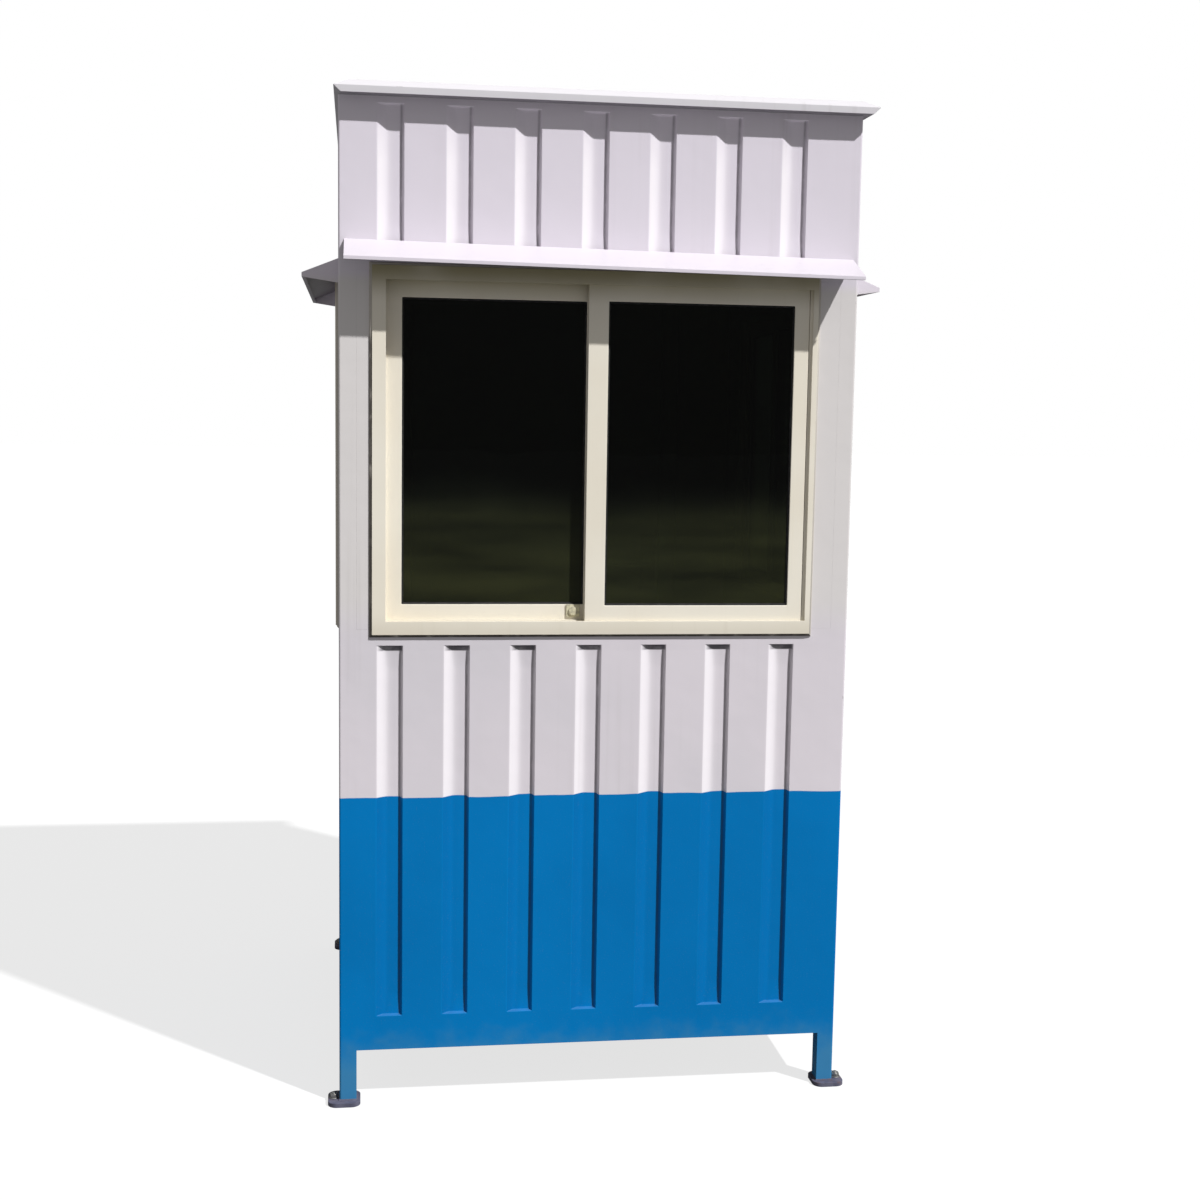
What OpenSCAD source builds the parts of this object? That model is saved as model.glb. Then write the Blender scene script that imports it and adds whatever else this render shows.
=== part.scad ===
// Portable security guard booth: pressed steel sheet on a welded tube frame.
// Millimetres, +Z up, front wall towards -Y, origin on the ground under the middle of the cabin.
// Each wall is drawn in its own frame: X to the right seen from outside, Y inwards, Z up.

/* [Cabin] */
// Width over the corner posts
cabin_w = 1200; // [1180:10:1600]
// Depth over the corner posts
cabin_d = 1200; // [1140:10:1800]
// Height of the walls' lower edge above the ground
leg_h = 131; // [90:1:250]
// Height of the walls' upper edge above the ground
eaves_h = 2325; // [2280:5:2600]

/* [Frame tubes] */
// Side of the square corner posts
post_w = 40; // [36:1:60]
// Wall of the posts and rails
tube_t = 2; // [1.5:0.5:4]
// Height of the rails under the floor
base_rail_h = 60; // [40:1:80]
// Height of the rails under the roof
top_rail_h = 40; // [30:1:60]

/* [Feet] */
// Width of a base plate along the front
plate_w = 76; // [70:1:120]
// Depth of a base plate
plate_d = 80; // [70:1:120]
// Thickness of a base plate
plate_t = 10; // [6:1:16]
// Corner radius of a base plate
plate_r = 22; // [4:1:30]
// How far a base plate stands out sideways from the middle of its post
plate_shift = 9; // [8:1:20]
// Radius of the anchor hole
anchor_r = 6; // [4:0.5:8]
// Centre of the anchor hole beyond the post's outer side
anchor_reach = 13; // [12:1:20]

/* [Pressed sheet] */
// Thickness of the wall and roof sheet
sheet_t = 1.5; // [1:0.5:2.5]
// Distance between groove centres
groove_pitch = 154; // [110:1:220]
// Width of a groove at the wall face
groove_w = 60; // [45:1:80]
// Depth of a groove
groove_depth = 11; // [8:1:18]
// Sideways place of a groove's deepest line, towards its steep side
groove_low_x = 14; // [0:1:16]
// Width of a groove's steep side
groove_wall = 6; // [3:1:12]
// Length of the steep wall at a groove's ends
groove_end_wall = 3; // [2:0.5:8]
// Length over which a groove deepens behind its end walls
groove_end_ease = 50; // [30:1:55]
// Sideways shift of the front wall's grooves
groove_shift = -22; // [-26:1:26]
// Least flat width beside the last groove
groove_edge = 30; // [28:1:50]
// Flat height below the lower grooves
groove_low_gap = 82; // [70:1:120]
// Flat height between the lower grooves and the window
groove_sill_gap = 26; // [16:1:60]
// Flat height above the upper grooves
groove_eaves_gap = 14; // [10:1:40]
// How far the upper grooves run down behind the hood
groove_tuck = 20; // [10:1:26]

/* [Windows] */
// Height of the windows' lower edge above the ground
sill_h = 1121; // [1000:1:1140]
// Wall between the cabin's left edge and the front window
window_left_gap = 75; // [70:1:250]
// Wall between the cabin's right edge and the front window
window_right_gap = 95; // [70:1:250]
// Wall beside each edge of the side windows
side_window_gap = 170; // [150:1:300]

/* [Window profiles] */
// Visible face of the fixed frame
frame_face = 31; // [28:1:45]
// How far the frame's face laps onto the wall
frame_lap = 12; // [8:1:13]
// Front lip that is left at the fixed sash's jamb
jamb_lip = 12; // [8:1:16]
// How far the frame stands out from the wall
frame_proud = 9; // [8:1:20]
// Thickness of the frame's front lip before the outer track
track_lip = 7; // [4:0.5:8]
// Depth of the sash tracks in the frame
track_depth = 13; // [8:1:13]
// Thickness of a sash
sash_t = 18; // [14:1:18]
// Running clearance of a sash in its track
track_clear = 1; // [0.5:0.25:1.5]
// Distance between the two tracks
track_pitch = 28; // [24:1:29]
// Height of the top and bottom rails of a sash
sash_rail = 49; // [40:1:60]
// Width of the stiles where the sashes meet
meeting_stile = 47; // [36:1:60]
// Width of the inner sash's stile at the jamb
inner_jamb_stile = 49; // [34:1:60]
// Width of the outer sash's stile at the jamb
outer_jamb_stile = 35; // [30:1:60]
// Thickness of the glass
glass_t = 5; // [4:1:6]
// How deep the glass sits in the sash
glass_bite = 8; // [5:1:12]
// Width of the sash latch
latch_w = 32; // [20:1:40]
// Height of the sash latch
latch_h = 30; // [20:1:34]
// How far the latch stands out from its sash
latch_proud = 8; // [5:0.5:9]

/* [Hoods] */
// Flat wall at each end of the front hood
front_hood_inset = 13; // [10:1:60]
// How far the front hood reaches out
front_hood_reach = 106; // [60:1:160]
// Droop of the front hood to the right, in degrees
front_hood_droop = 0.7; // [0:0.1:1]
// Fall of the front hood's top
front_hood_drop = 46; // [15:1:50]
// Height of the front hood's lip
front_hood_lip = 8; // [6:1:40]
// Flat wall at each end of a side hood
side_hood_inset = 100; // [60:1:160]
// How far a side hood reaches out
side_hood_reach = 84; // [50:1:140]
// Fall of a side hood's top
side_hood_drop = 34; // [15:1:50]
// Height of a side hood's lip
side_hood_lip = 10; // [8:1:40]
// Height of a side hood's end cheeks at the wall
side_hood_cheek = 56; // [44:1:70]
// How far the side hoods sit below the front hood
side_hood_lower = 28; // [0:1:40]
// Height of a hood's flange on the wall
hood_flange = 30; // [24:1:40]
// Width of the return under a hood's lip
hood_return = 9; // [5:1:20]
// Bare wall between a window and its hood's flange
hood_gap = 19; // [12:1:40]
// Height of the wall above the front hood
hood_eaves_gap = 319; // [280:1:420]

/* [Roof] */
// Height of the roof tray
roof_h = 29; // [24:1:60]
// Height of the roof's nose above the walls
roof_nose_h = 15; // [8:1:20]
// Overhang of the nose at the front and back
roof_front = 38; // [20:1:80]
// Overhang of the underside at the front and back
roof_front_foot = 37; // [4:1:80]
// How far the roof's upper face falls back from the nose at the front and back
roof_front_brow = 14; // [5:1:60]
// Overhang of the nose at the sides
roof_side = 20; // [15:1:80]
// Overhang of the underside at the sides
roof_side_foot = 4; // [2:1:80]
// How far the roof's upper face falls back from the nose at the sides
roof_side_brow = 36; // [5:1:60]
// Sideways shift of the roof
roof_shift = 10; // [-10:1:10]
// Height of the pressed ribs on the roof
rib_h = 8; // [5:1:12]
// Flat border round the roof's ribs
rib_border = 70; // [50:1:140]

/* [Inside] */
// Thickness of the wall lining
lining_t = 9; // [6:1:12]
// Thickness of the ceiling board
ceiling_t = 9; // [6:1:12]
// Thickness of the floor deck
deck_t = 18; // [12:1:25]

/* [Door] */
// Width of the wall panels beside the door
door_side_w = 162; // [125:1:220]
// Height of the wall above the door
door_eaves_gap = 210; // [175:5:325]
// Thickness of the door leaf
leaf_t = 36; // [30:1:38]
// Gap round the door leaf
leaf_gap = 3; // [2:0.5:5]
// Face of the door frame
door_face = 35; // [25:1:45]
// How far the door frame stands out from the wall
door_proud = 6; // [3:1:10]
// Height of the threshold
threshold_h = 25; // [15:1:40]
// How far the door stop reaches over the leaf
stop_w = 12; // [8:1:20]
// Flat height between the door's lower and upper grooves
lock_rail_h = 180; // [170:1:240]
// Radius of a hinge barrel
hinge_r = 7; // [5:0.5:10]
// Length of a hinge
hinge_l = 100; // [60:1:140]
// Number of hinges
hinge_count = 3; // [2:1:4]
// Width of the handle's plate
handle_plate_w = 42; // [30:1:60]
// Height of the handle's plate
handle_plate_h = 165; // [100:1:165]
// Radius of the lever
lever_r = 9; // [6:0.5:12]
// Length of the lever
lever_l = 115; // [80:1:130]
// How far the lever stands off its plate
lever_reach = 42; // [28:1:60]

/* [Hidden] */
$fn = 48;
// Overrun of every cut
cut = 20;
// How far the easing of a groove's ends dips below its floor
end_dip = 0.5;
// Depth of a groove's end walls, of its whole depth
end_wall_share = 0.68;
// Gap between a window or door frame and the wall round it
frame_fit = 1;
// Gap round the glass and latch in their seats
seat_fit = 0.3;
// Thickness of a hinge's plate
hinge_plate_t = 3;
// Width of a hinge's plate
hinge_plate_w = 28;
// Thickness of the handle's plate
handle_plate_t = 8;
// Where the hinges stand along the leaf, from its foot
hinge_low_share = 0.1;
hinge_high_share = 0.9;

// Space between the wall face and the rails, which the grooves fill
wall_gap = groove_depth + sheet_t;
wall_t = post_w + lining_t;
rail_d = post_w - wall_gap;
inner_w = cabin_w - 2 * post_w;
inner_d = cabin_d - 2 * post_w;
deck_top = leg_h + base_rail_h + deck_t;
ceiling_z = eaves_h - top_rail_h - ceiling_t;

hood_z = eaves_h - hood_eaves_gap;
side_hood_z = hood_z - side_hood_lower;
groove_low_z = leg_h + groove_low_gap;
groove_sill_z = sill_h - groove_sill_gap;
groove_top_z = eaves_h - groove_eaves_gap;

window_w = cabin_w - window_left_gap - window_right_gap;
window_shift = (window_left_gap - window_right_gap) / 2;
window_top = hood_z - hood_flange - hood_gap;
window_h = window_top - sill_h;
side_window_w = cabin_d - 2 * side_window_gap;
side_window_top = side_hood_z - hood_flange - hood_gap;
side_window_h = side_window_top - sill_h;

front_xs = groove_xs(inner_w, groove_shift);
side_xs = groove_xs(inner_d, 0);

outer_sash_y = track_lip + track_clear - frame_proud;
inner_sash_y = outer_sash_y + track_pitch;

door_w = inner_w - 2 * door_side_w;
door_head_h = eaves_h - door_eaves_gap;
leaf_w = door_w - 2 * (leaf_gap + door_face);
leaf_z = deck_top + threshold_h + leaf_gap;
leaf_h = door_head_h - door_face - leaf_gap - leaf_z;
back_xs = groove_xs(door_w, 0);
lock_z = groove_sill_z + lock_rail_h / 2;

paint_white = [0.84, 0.81, 0.84];
paint_blue = [0.02, 0.42, 0.67];
cream = [0.92, 0.89, 0.8];
dark_glass = [0.05, 0.07, 0.06, 0.9];
board = [0.8, 0.78, 0.72];
bare_steel = [0.45, 0.48, 0.55];

// Wall frames

module on_front() {
    translate([0, -cabin_d / 2, 0]) children();
}

module on_back() {
    translate([0, cabin_d / 2, 0]) rotate([0, 0, 180]) children();
}

module on_left() {
    translate([-cabin_w / 2, 0, 0]) rotate([0, 0, -90]) children();
}

module on_right() {
    translate([cabin_w / 2, 0, 0]) rotate([0, 0, 90]) children();
}

// Pressed sheet

// Groove centres that fit on a panel of this width
function groove_count(width) = floor((width - groove_w - 2 * groove_edge) / groove_pitch) + 1;
function groove_xs(width, shift) =
    let (n = groove_count(width)) [for (i = [0 : n - 1]) shift + (i - (n - 1) / 2) * groove_pitch];

// Groove with a round easy side, a steep side and steep ends: mouth on Z = 0, floor at -depth,
// length along Y at the mouth. The wall of the groove lies skin outside the hollow, and its mouth
// is carried up by rise.
module swage(depth, length, skin, rise) {
    intersection() {
        rotate([90, 0, 0])
            linear_extrude(height = length + 2 * cut, center = true) groove_section(depth, skin);
        rotate([90, 0, 90])
            linear_extrude(height = 2 * groove_w, center = true)
                end_profile(length, depth + end_dip, skin, rise);
    }
}

// Section across the groove: a large round from the left lip, cut off by the steep side
module groove_section(depth, skin) {
    half = groove_w / 2 + groove_low_x;
    radius = (half * half + depth * depth) / (2 * depth);
    lean = groove_wall / depth;
    lip = groove_w / 2 + skin * sqrt(1 + lean * lean);
    reach = depth + cut;
    intersection() {
        translate([groove_low_x, radius - depth]) circle(r = radius + skin);
        polygon([
            [-groove_w, -reach], [lip - lean * reach, -reach],
            [lip + lean * reach, reach], [-groove_w, reach]
        ]);
    }
}

// Outline along the groove: a steep wall at each end, then a slow fall to the full depth
module end_profile(length, depth, skin, rise) {
    half = length / 2;
    step = depth * end_wall_share;
    lean = groove_end_wall / step;
    mouth = half + skin * sqrt(1 + lean * lean);
    knee = mouth - lean * (step + skin);
    level = half - groove_end_wall - groove_end_ease;
    side = [[mouth, rise], [mouth, 0], [knee, -step - skin], [level, -depth - skin]];
    polygon(concat(side, [for (i = [len(side) - 1 : -1 : 0]) [-side[i][0], side[i][1]]]));
}

// The hollow side of a groove, and the raised side one sheet thickness outside it
module swage_cut(length, depth) {
    swage(depth, length, 0, cut);
}

module swage_back(length, depth) {
    swage(depth, length, sheet_t, 0);
}

// Grooves on a wall face, between two heights
module wall_grooves(xs, z0, z1, back) {
    for (x = xs)
        translate([x, 0, (z0 + z1) / 2]) rotate([90, 0, 0])
            if (back) swage_back(z1 - z0, groove_depth);
            else swage_cut(z1 - z0, groove_depth);
}

// A tray of sheet with returned edges, seen from outside, open towards the cabin
module tray(x0, x1, z0, z1, depth) {
    difference() {
        translate([x0, 0, z0]) cube([x1 - x0, depth, z1 - z0]);
        translate([x0 + sheet_t, sheet_t, z0 + sheet_t])
            cube([x1 - x0 - 2 * sheet_t, depth + cut, z1 - z0 - 2 * sheet_t]);
    }
}

// A tray pressed with grooves between two heights
module pressed_panel(x0, x1, z0, z1, xs, groove_z0, groove_z1) {
    difference() {
        union() {
            tray(x0, x1, z0, z1, wall_gap);
            wall_grooves(xs, groove_z0, groove_z1, true);
        }
        wall_grooves(xs, groove_z0, groove_z1, false);
    }
}

module panel_lower(span, xs) {
    pressed_panel(-span / 2, span / 2, leg_h, sill_h + frame_lap, xs, groove_low_z, groove_sill_z);
}

module panel_upper(span, xs, window_top, hood_top) {
    pressed_panel(-span / 2, span / 2, window_top - frame_lap, eaves_h,
        xs, hood_top - groove_tuck, groove_top_z);
}

// The plain strips at both sides of a window
module strips(span, width, height, shift) {
    z0 = sill_h + frame_lap;
    z1 = sill_h + height - frame_lap;
    hole = width - 2 * frame_lap;
    tray(-span / 2, shift - hole / 2, z0, z1, wall_gap);
    tray(shift + hole / 2, span / 2, z0, z1, wall_gap);
}

// Wall sheets

module front_panel_lower() {
    color(paint_blue) on_front() panel_lower(inner_w, front_xs);
}

module front_panel_upper() {
    color(paint_white) on_front() panel_upper(inner_w, front_xs, window_top, hood_z);
}

module front_strips() {
    color(paint_white) on_front() strips(inner_w, window_w, window_h, window_shift);
}

module left_panel_lower() {
    color(paint_blue) on_left() panel_lower(inner_d, side_xs);
}

module left_panel_upper() {
    color(paint_white) on_left() panel_upper(inner_d, side_xs, side_window_top, side_hood_z);
}

module left_strips() {
    color(paint_white) on_left() strips(inner_d, side_window_w, side_window_h, 0);
}

module right_panel_lower() {
    color(paint_blue) on_right() panel_lower(inner_d, side_xs);
}

module right_panel_upper() {
    color(paint_white) on_right() panel_upper(inner_d, side_xs, side_window_top, side_hood_z);
}

module right_strips() {
    color(paint_white) on_right() strips(inner_d, side_window_w, side_window_h, 0);
}

// The plain strip under the door
module back_panel_lower() {
    color(paint_blue) on_back() tray(-door_w / 2, door_w / 2, leg_h, deck_top, wall_gap);
}

module back_panel_upper() {
    color(paint_white)
        on_back()
            pressed_panel(-door_w / 2, door_w / 2, door_head_h, eaves_h,
                back_xs, door_head_h + groove_sill_gap, groove_top_z);
}

module back_panels_beside_door() {
    color(paint_white)
        on_back()
            for (side = [-1, 1])
                translate([side * (door_w + door_side_w) / 2, 0, 0])
                    pressed_panel(-door_side_w / 2, door_side_w / 2, leg_h, eaves_h,
                        groove_xs(door_side_w, 0), groove_low_z, groove_top_z);
}

// Frame tubes and feet

module tube(size_x, size_y, length) {
    difference() {
        translate([-size_x / 2, -size_y / 2, 0]) cube([size_x, size_y, length]);
        translate([tube_t - size_x / 2, tube_t - size_y / 2, -cut])
            cube([size_x - 2 * tube_t, size_y - 2 * tube_t, length + 2 * cut]);
    }
}

module post(side_x, side_y) {
    color(paint_blue)
        translate([side_x * (cabin_w - post_w) / 2, side_y * (cabin_d - post_w) / 2, plate_t])
            tube(post_w, post_w, eaves_h - plate_t);
}

module base_plate() {
    linear_extrude(height = plate_t)
        difference() {
            translate([plate_shift, 0]) rounded(plate_w, plate_d, plate_r);
            translate([post_w / 2 + anchor_reach, 0]) circle(r = anchor_r);
        }
}

module rounded(width, height, radius) {
    square([width - 2 * radius, height], center = true);
    square([width, height - 2 * radius], center = true);
    for (x = [-1, 1], y = [-1, 1])
        translate([x * (width / 2 - radius), y * (height / 2 - radius)]) circle(r = radius);
}

module base_plates() {
    color(bare_steel)
        for (x = [-1, 1], y = [-1, 1])
            translate([x * (cabin_w - post_w) / 2, y * (cabin_d - post_w) / 2, 0])
                mirror([x < 0 ? 1 : 0, 0, 0]) base_plate();
}

// A rail between two posts, behind the pressed sheet
module rail(length, z, height) {
    translate([-length / 2, wall_gap + rail_d / 2, z + height / 2]) rotate([0, 90, 0])
        tube(height, rail_d, length);
}

module rail_ring(z, height) {
    on_front() rail(inner_w, z, height);
    on_back() rail(inner_w, z, height);
    on_left() rail(inner_d, z, height);
    on_right() rail(inner_d, z, height);
}

module base_rails() {
    color(paint_blue) rail_ring(leg_h, base_rail_h);
}

module top_rails() {
    color(paint_white) rail_ring(eaves_h - top_rail_h, top_rail_h);
}

// Floor, ceiling and roof

module floor_deck() {
    depth = cabin_d - 2 * wall_gap;
    color(board) translate([-inner_w / 2, -depth / 2, deck_top - deck_t]) cube([inner_w, depth, deck_t]);
}

module ceiling() {
    color(board) translate([-inner_w / 2, -inner_d / 2, ceiling_z]) cube([inner_w, inner_d, ceiling_t]);
}

// The roof's section, inset by skin: underside, nose, and a flat top behind the brow
module roof_section(width, foot_out, nose_out, brow_in, skin) {
    foot = width / 2 + foot_out - skin;
    nose = width / 2 + nose_out - skin;
    brow = nose - brow_in;
    low = eaves_h + skin;
    mid = eaves_h + roof_nose_h;
    top = eaves_h + roof_h - skin;
    polygon([[-foot, low], [-nose, mid], [-brow, top], [brow, top], [nose, mid], [foot, low]]);
}

// The body with one section across the sides and another from front to back
module roof_body(skin) {
    intersection() {
        rotate([90, 0, 0])
            linear_extrude(height = 2 * cabin_d, center = true)
                roof_section(cabin_w, roof_side_foot, roof_side, roof_side_brow, skin);
        rotate([90, 0, 90])
            linear_extrude(height = 2 * cabin_w, center = true)
                roof_section(cabin_d, roof_front_foot, roof_front, roof_front_brow, skin);
    }
}

module roof() {
    top = eaves_h + roof_h;
    rib_l = cabin_d + 2 * (roof_front - roof_front_brow - rib_border);
    color(paint_white)
        translate([roof_shift, 0, 0])
            difference() {
                union() {
                    roof_body(0);
                    roof_ribs(top) swage_back(rib_l, rib_h);
                }
                roof_body(sheet_t);
                translate([-roof_shift - inner_w / 2, -inner_d / 2, eaves_h - cut])
                    cube([inner_w, inner_d, cut + roof_nose_h]);
                roof_ribs(top) swage_cut(rib_l, rib_h);
            }
}

// Ribs pressed upwards in the roof sheet, raised from its underside
module roof_ribs(top) {
    for (x = groove_xs(cabin_w + 2 * (roof_side - roof_side_brow - rib_border), 0))
        translate([x, 0, top - sheet_t]) mirror([0, 0, 1]) children();
}

// Linings

module lining(length, cut_w, cut_z0, cut_z1, shift) {
    color(board)
        difference() {
            translate([-length / 2, post_w, deck_top]) cube([length, lining_t, ceiling_z - deck_top]);
            translate([shift - cut_w / 2, post_w - cut, cut_z0])
                cube([cut_w, lining_t + 2 * cut, cut_z1 - cut_z0]);
        }
}

module window_lining(length, width, height, shift) {
    lining(length, width - 2 * frame_lap, sill_h + frame_lap, sill_h + height - frame_lap, shift);
}

module lining_front() {
    on_front() window_lining(inner_w - 2 * lining_t, window_w, window_h, window_shift);
}

module lining_left() {
    on_left() window_lining(inner_d, side_window_w, side_window_h, 0);
}

module lining_right() {
    on_right() window_lining(inner_d, side_window_w, side_window_h, 0);
}

module lining_back() {
    on_back() lining(inner_w - 2 * lining_t, door_w, deck_top - cut, door_head_h, 0);
}

// Hoods

// A hood folded from one sheet, with a return under its lip; its top edge on Z = 0, its ends open or
// closed by cheeks
module hood(length, reach, drop, lip, cheek = 0) {
    slope = drop / reach;
    skin = sheet_t * sqrt(1 + slope * slope);
    low = -drop - lip;
    sheet = [
        [0, 0], [reach, -drop], [reach, low], [reach - hood_return, low],
        [reach - hood_return, low + sheet_t], [reach - sheet_t, low + sheet_t],
        [reach - sheet_t, slope * sheet_t - drop - skin], [sheet_t, -slope * sheet_t - skin],
        [sheet_t, -hood_flange], [0, -hood_flange]
    ];
    color(paint_white)
        rotate([0, 0, -90]) rotate([90, 0, 0]) {
            linear_extrude(height = length, center = true) polygon(sheet);
            if (cheek > 0)
                for (end = [-1, 1])
                    translate([0, 0, end * (length - sheet_t) / 2])
                        linear_extrude(height = sheet_t, center = true)
                            polygon([[0, 0], [reach, -drop], [reach, low], [0, -cheek]]);
        }
}

module front_hood() {
    on_front()
        translate([0, 0, hood_z]) rotate([0, front_hood_droop, 0])
            hood(cabin_w - 2 * front_hood_inset, front_hood_reach, front_hood_drop, front_hood_lip);
}

module side_hood() {
    translate([0, 0, side_hood_z])
        hood(cabin_d - 2 * side_hood_inset, side_hood_reach, side_hood_drop, side_hood_lip,
            side_hood_cheek);
}

module left_hood() {
    on_left() side_hood();
}

module right_hood() {
    on_right() side_hood();
}

// Windows

module slab(width, z0, z1, y0, y1) {
    translate([-width / 2, y0, z0]) cube([width, y1 - y0, z1 - z0]);
}

module window_frame(width, height, shift) {
    lap = frame_lap + frame_fit;
    top = sill_h + height;
    color(cream)
        translate([shift, 0, 0])
            difference() {
                union() {
                    slab(width, sill_h, top, -frame_proud, 0);
                    slab(width - 2 * lap, sill_h + lap, top - lap, -frame_proud, wall_t);
                }
                slab(width - 2 * frame_face, sill_h + frame_face, top - frame_face,
                    -cut - frame_proud, wall_t + cut);
                track(width, top, outer_sash_y);
                track(width, top, inner_sash_y);
                translate([width / 2 - frame_face, -cut - frame_proud, sill_h + frame_face])
                    cube([frame_face - jamb_lip, cut + track_lip + track_clear, height - 2 * frame_face]);
            }
}

// The channel that one sash runs in
module track(width, top, sash_y) {
    inset = frame_face - track_depth;
    slab(width - 2 * inset, sill_h + inset, top - inset,
        sash_y - track_clear, sash_y + sash_t + track_clear);
}

// Overall width of one sash: both reach their jamb's track, and their meeting stiles lap
function sash_w(width) = width / 2 - frame_face + track_depth - track_clear + meeting_stile / 2;

// A sash between x0 and x1 with stiles of these widths, grooved for its glass
module sash(x0, x1, height, y, left_stile, right_stile) {
    z0 = sill_h + frame_face - track_depth;
    z1 = sill_h + height - frame_face + track_depth - track_clear;
    color(cream)
        difference() {
            translate([x0, y, z0]) cube([x1 - x0, sash_t, z1 - z0]);
            translate([x0 + left_stile, y - cut, z0 + sash_rail])
                cube([x1 - x0 - left_stile - right_stile, sash_t + 2 * cut, z1 - z0 - 2 * sash_rail]);
            pane(x0, x1, height, y, left_stile, right_stile, seat_fit);
        }
}

// The glass of that sash, grown by a fit for its groove
module pane(x0, x1, height, y, left_stile, right_stile, fit) {
    z0 = sill_h + frame_face - track_depth + sash_rail - glass_bite;
    z1 = sill_h + height - frame_face + track_depth - track_clear - sash_rail + glass_bite;
    left = x0 + left_stile - glass_bite;
    right = x1 - right_stile + glass_bite;
    translate([left - fit, y + (sash_t - glass_t) / 2 - fit, z0 - fit])
        cube([right - left + 2 * fit, glass_t + 2 * fit, z1 - z0 + 2 * fit]);
}

function left_edge(width, shift) = shift - width / 2 + frame_face - track_depth + track_clear;
function right_edge(width, shift) = shift + width / 2 - frame_face + track_depth - track_clear;

module sliding_sash(width, height, shift) {
    x0 = left_edge(width, shift);
    sash(x0, x0 + sash_w(width), height, inner_sash_y, inner_jamb_stile, meeting_stile);
}

module fixed_sash(width, height, shift) {
    x1 = right_edge(width, shift);
    sash(x1 - sash_w(width), x1, height, outer_sash_y, meeting_stile, outer_jamb_stile);
}

module glass(width, height, shift) {
    x0 = left_edge(width, shift);
    x1 = right_edge(width, shift);
    color(dark_glass) {
        pane(x0, x0 + sash_w(width), height, inner_sash_y, inner_jamb_stile, meeting_stile, 0);
        pane(x1 - sash_w(width), x1, height, outer_sash_y, meeting_stile, outer_jamb_stile, 0);
    }
}

module front_window_frame() {
    on_front() window_frame(window_w, window_h, window_shift);
}

module front_sliding_sash() {
    on_front() sliding_sash(window_w, window_h, window_shift);
}

module front_fixed_sash() {
    on_front() fixed_sash(window_w, window_h, window_shift);
}

module front_glass() {
    on_front() glass(window_w, window_h, window_shift);
}

module side_sashes() {
    sliding_sash(side_window_w, side_window_h, 0);
    fixed_sash(side_window_w, side_window_h, 0);
}

module left_window_frame() {
    on_left() window_frame(side_window_w, side_window_h, 0);
}

module left_sashes() {
    on_left() side_sashes();
}

module left_glass() {
    on_left() glass(side_window_w, side_window_h, 0);
}

module right_window_frame() {
    on_right() window_frame(side_window_w, side_window_h, 0);
}

module right_sashes() {
    on_right() side_sashes();
}

module right_glass() {
    on_right() glass(side_window_w, side_window_h, 0);
}

// Finger latch on the lower rail of the sliding sash, beside the meeting stile
module front_latch() {
    lift = sash_rail - track_depth - latch_h;
    right = right_edge(window_w, window_shift) - sash_w(window_w) - latch_proud;
    z = sill_h + frame_face + lift;
    color(bare_steel)
        on_front() {
            translate([right - latch_w, inner_sash_y - latch_proud / 2, z])
                cube([latch_w, latch_proud / 2, latch_h]);
            translate([right - latch_w / 2, inner_sash_y, z + latch_h / 2]) rotate([90, 0, 0])
                cylinder(r = latch_h / 3, h = latch_proud);
        }
}

// Door

// The frame's section run round the door, drawn inset from the outside by skin
module door_ring(skin) {
    width = door_w - 2 * frame_fit;
    sill = deck_top + threshold_h;
    rebate_w = leaf_w + 2 * leaf_gap;
    clear_w = leaf_w - 2 * stop_w;
    difference() {
        slab(width - 2 * skin, deck_top + skin, door_head_h - frame_fit - skin,
            skin - door_proud, wall_t - skin);
        slab(rebate_w + 2 * skin, sill - skin, leaf_z + leaf_h + leaf_gap + skin,
            -cut - door_proud, leaf_t + skin);
        slab(clear_w + 2 * skin, sill - skin, leaf_z + leaf_h - stop_w + skin, 0, wall_t + cut);
    }
}

// A closed section of folded sheet
module door_frame() {
    color(paint_white)
        on_back()
            difference() {
                door_ring(0);
                door_ring(tube_t);
            }
}

module door_leaf() {
    xs = groove_xs(leaf_w, 0);
    low = leaf_z + groove_low_gap;
    high = leaf_z + leaf_h - groove_low_gap;
    color(paint_white)
        on_back()
            difference() {
                union() {
                    difference() {
                        slab(leaf_w, leaf_z, leaf_z + leaf_h, 0, leaf_t);
                        slab(leaf_w - 2 * sheet_t, leaf_z - cut, leaf_z + leaf_h - sheet_t,
                            sheet_t, leaf_t - sheet_t);
                    }
                    wall_grooves(xs, low, groove_sill_z, true);
                    wall_grooves(xs, groove_sill_z + lock_rail_h, high, true);
                }
                wall_grooves(xs, low, groove_sill_z, false);
                wall_grooves(xs, groove_sill_z + lock_rail_h, high, false);
            }
}

// Barrel hinges across the gap between leaf and frame
module door_hinges() {
    x = leaf_w / 2 + leaf_gap / 2;
    y = -door_proud - hinge_r;
    step = (hinge_high_share - hinge_low_share) / (hinge_count - 1);
    color(bare_steel)
        on_back()
            for (i = [0 : hinge_count - 1])
                translate([x, 0, leaf_z + leaf_h * (hinge_low_share + i * step) - hinge_l / 2]) {
                    translate([0, y, 0]) cylinder(r = hinge_r, h = hinge_l);
                    translate([0, -door_proud - hinge_plate_t, 0])
                        cube([hinge_plate_w, hinge_plate_t, hinge_l]);
                    translate([-hinge_plate_w, -door_proud - hinge_plate_t, 0])
                        cube([hinge_plate_w - leaf_gap / 2, door_proud + hinge_plate_t, hinge_l]);
                }
}

// A lever on its plate, outside and inside the leaf
module door_handles() {
    color(bare_steel)
        on_back() {
            handle();
            translate([0, leaf_t, 0]) mirror([0, 1, 0]) handle();
        }
}

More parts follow.
